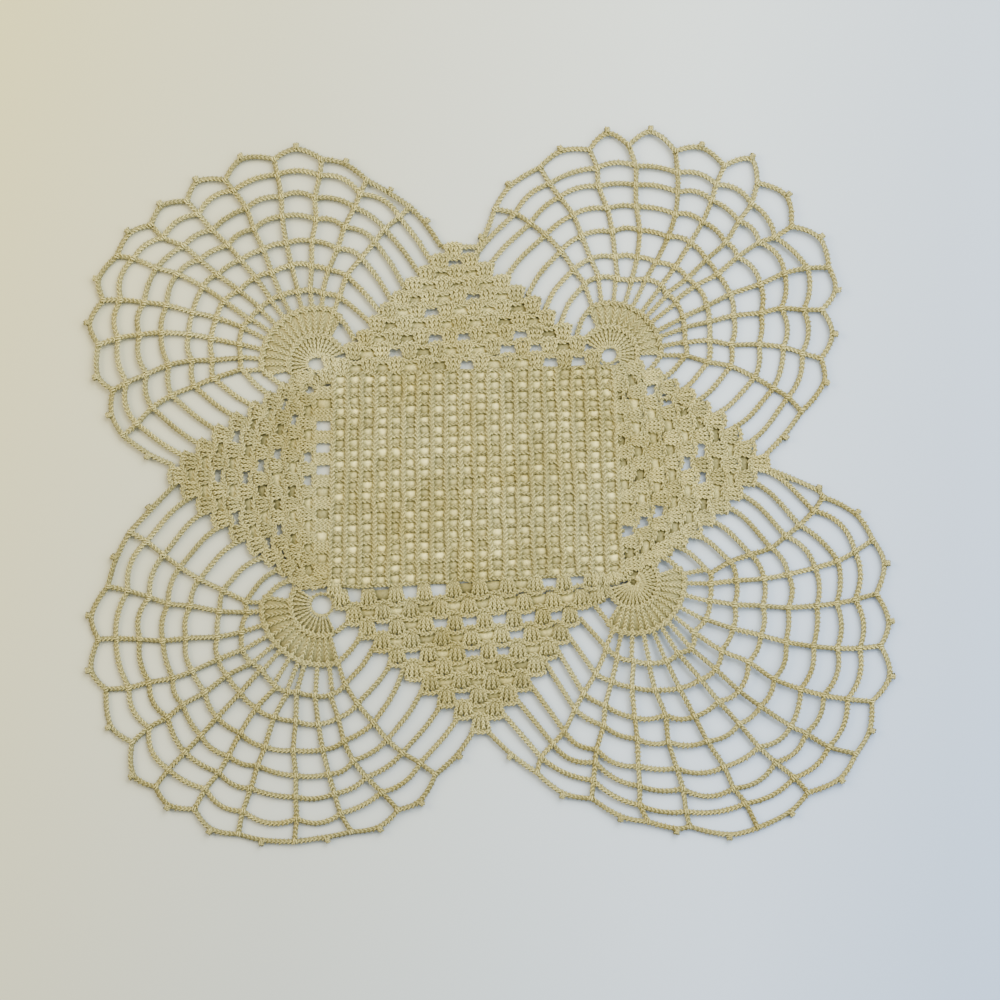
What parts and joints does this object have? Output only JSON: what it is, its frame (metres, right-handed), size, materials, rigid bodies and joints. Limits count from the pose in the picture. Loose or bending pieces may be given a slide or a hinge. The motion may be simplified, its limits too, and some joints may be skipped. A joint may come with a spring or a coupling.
{
  "type": "lace doily",
  "caption": "Flat crocheted lace doily: a mesh square inside a shell-stitch diamond, with a netted fan at each corner and a scalloped, knotted rim.",
  "frame": {"origin": "middle of the outline's box, on the flat underside", "axes": "+X to the right and +Y up the picture, +Z out of the face that shows; the underside is z = 0"},
  "size_m": [0.4386, 0.3884, 0.0028],
  "materials": {
    "cotton": "matte ecru cotton yarn, tightly twisted and crocheted"
  },
  "bodies": {
    "root": {"doily": "cotton"}
  },
  "joints": []
}
